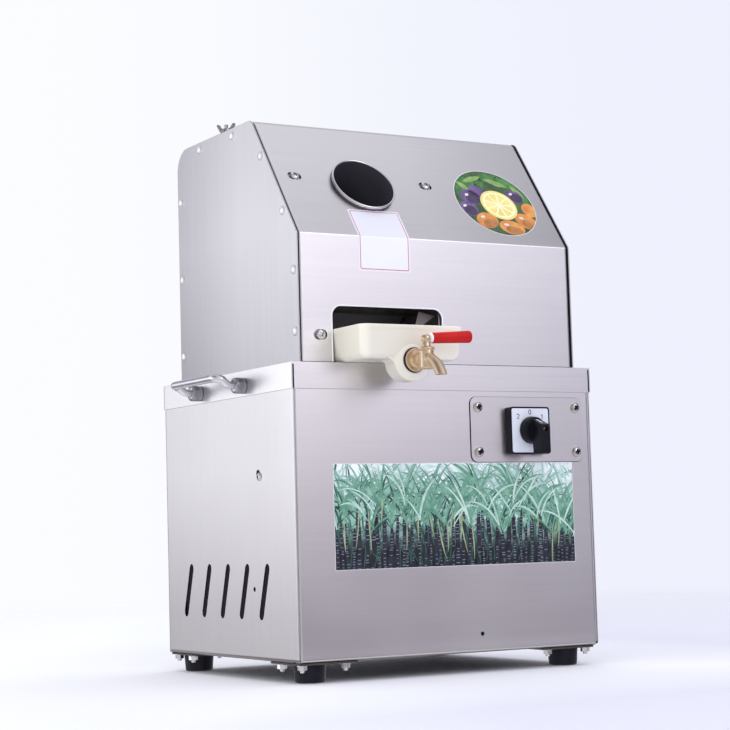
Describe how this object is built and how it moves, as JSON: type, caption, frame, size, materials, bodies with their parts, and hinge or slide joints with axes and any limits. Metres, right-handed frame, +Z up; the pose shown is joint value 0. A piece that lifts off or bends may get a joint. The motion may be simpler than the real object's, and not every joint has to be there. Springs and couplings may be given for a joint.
{
  "type": "sugarcane juicer",
  "caption": "Tabletop electric sugarcane juicer: sheet-steel cabinet on rubber feet, sloped hood with a round feed tube, roller mill inside, rotary switch, pull-out tray with a brass tap.",
  "frame": {"origin": "on the floor under the middle of the whole machine, tap and chute included", "axes": "+Z up, +Y to the back, +X to the right as seen from the front"},
  "size_m": [0.5274, 0.5196, 0.7283],
  "materials": {
    "rubber": "matt black moulded",
    "zinc_steel": "zinc plated",
    "frame_paint": "dark grey primer",
    "sheet_steel": "satin stainless sheet",
    "polished_steel": "polished stainless",
    "black_plastic": "satin black",
    "dial_plastic": "pale, satin",
    "machined_steel": "turned and ground",
    "bronze": "machined bronze",
    "cast_iron": "oiled",
    "grey_paint": "grey hammer paint",
    "cream_plastic": "smooth moulded",
    "brass": "cast and turned",
    "red_plastic": "glossy dipped"
  },
  "bodies": {
    "machine": {"foot_front_left": "rubber", "foot_front_right": "rubber", "foot_rear_left": "rubber", "foot_rear_right": "rubber", "corner_plate_front_left": "zinc_steel", "corner_plate_front_right": "zinc_steel", "corner_plate_rear_left": "zinc_steel", "corner_plate_rear_right": "zinc_steel", "tie_bar_front": "zinc_steel", "tie_bar_rear": "zinc_steel", "chassis_frame": "frame_paint", "cabinet_front_panel": "sheet_steel", "cabinet_left_panel": "sheet_steel", "cabinet_right_panel": "sheet_steel", "cabinet_rear_panel": "sheet_steel", "top_deck": "sheet_steel", "hood_wrap": "sheet_steel", "hood_left_side": "sheet_steel", "hood_right_side": "sheet_steel", "switch_mounting_plate": "sheet_steel", "bagasse_chute": "sheet_steel", "feed_tube": "polished_steel", "handle_left": "polished_steel", "handle_right": "polished_steel", "juice_guide_pan": "polished_steel", "top_scraper": "polished_steel", "cable_gland": "black_plastic", "switch_bezel": "black_plastic", "switch_contact_block": "black_plastic", "switch_dial_plate": "dial_plastic", "mill_left_plate": "machined_steel", "mill_right_plate": "machined_steel", "turn_plate": "machined_steel", "bush_top_left": "bronze", "bush_top_right": "bronze", "bush_front_left": "bronze", "bush_front_right": "bronze", "bush_rear_left": "bronze", "bush_rear_right": "bronze", "drive_chain": "cast_iron", "gearbox": "grey_paint", "motor": "grey_paint"},
    "top_roller": {"top_roller": "machined_steel", "top_gear": "cast_iron", "roller_sprocket": "cast_iron"},
    "front_roller": {"front_roller": "machined_steel", "front_gear": "cast_iron"},
    "rear_roller": {"rear_roller": "machined_steel", "rear_gear": "cast_iron"},
    "gearbox_output": {"gearbox_output_shaft": "machined_steel", "output_sprocket": "cast_iron"},
    "switch_knob": {"switch_knob": "black_plastic"},
    "juice_tray": {"juice_tray": "cream_plastic", "tap_washer": "rubber", "tap_body": "brass"},
    "tap_lever": {"tap_plug": "brass", "tap_grip": "red_plastic", "tap_collar": "dial_plastic"},
    "wing_nut_left": {"wing_nut_left": "zinc_steel"},
    "wing_nut_right": {"wing_nut_right": "zinc_steel"}
  },
  "joints": [
    {"name": "top_roller_spin", "type": "hinge", "parent": "machine", "child": "top_roller", "pos_m": [-0.076, 0.0603, 0.564], "axis": [1, 0, 0], "continuous": true},
    {"name": "front_roller_spin", "type": "hinge", "parent": "machine", "child": "front_roller", "pos_m": [-0.076, 0.01816, 0.50562], "axis": [1, 0, 0], "continuous": true},
    {"name": "rear_roller_spin", "type": "hinge", "parent": "machine", "child": "rear_roller", "pos_m": [-0.076, 0.10244, 0.50562], "axis": [1, 0, 0], "continuous": true},
    {"name": "gearbox_output_spin", "type": "hinge", "parent": "machine", "child": "gearbox_output", "pos_m": [0.077, 0.0603, 0.1524], "axis": [1, 0, 0], "continuous": true},
    {"name": "switch_turn", "type": "hinge", "parent": "machine", "child": "switch_knob", "pos_m": [0.115, -0.1632, 0.301], "axis": [0, 1, 0], "range_deg": [-45, 45]},
    {"name": "tray_slide", "type": "slide", "parent": "machine", "child": "juice_tray", "axis": [0, -1, 0], "range_m": [0, 0.18]},
    {"name": "tap_turn", "type": "hinge", "parent": "juice_tray", "child": "tap_lever", "pos_m": [-0.083, -0.2187, 0.4], "axis": [0, 0, -1], "range_deg": [0, 90]},
    {"name": "wing_nut_left_turn", "type": "hinge", "parent": "machine", "child": "wing_nut_left", "pos_m": [-0.172, 0.1268, 0.715], "axis": [0, 0, 1], "continuous": true},
    {"name": "wing_nut_right_turn", "type": "hinge", "parent": "machine", "child": "wing_nut_right", "pos_m": [0.0194, 0.1268, 0.715], "axis": [0, 0, 1], "continuous": true}
  ],
  "couplings": [
    {"joint": "front_roller_spin", "follows": "top_roller_spin", "ratio": -1},
    {"joint": "rear_roller_spin", "follows": "top_roller_spin", "ratio": -1},
    {"joint": "gearbox_output_spin", "follows": "top_roller_spin", "ratio": 2}
  ]
}
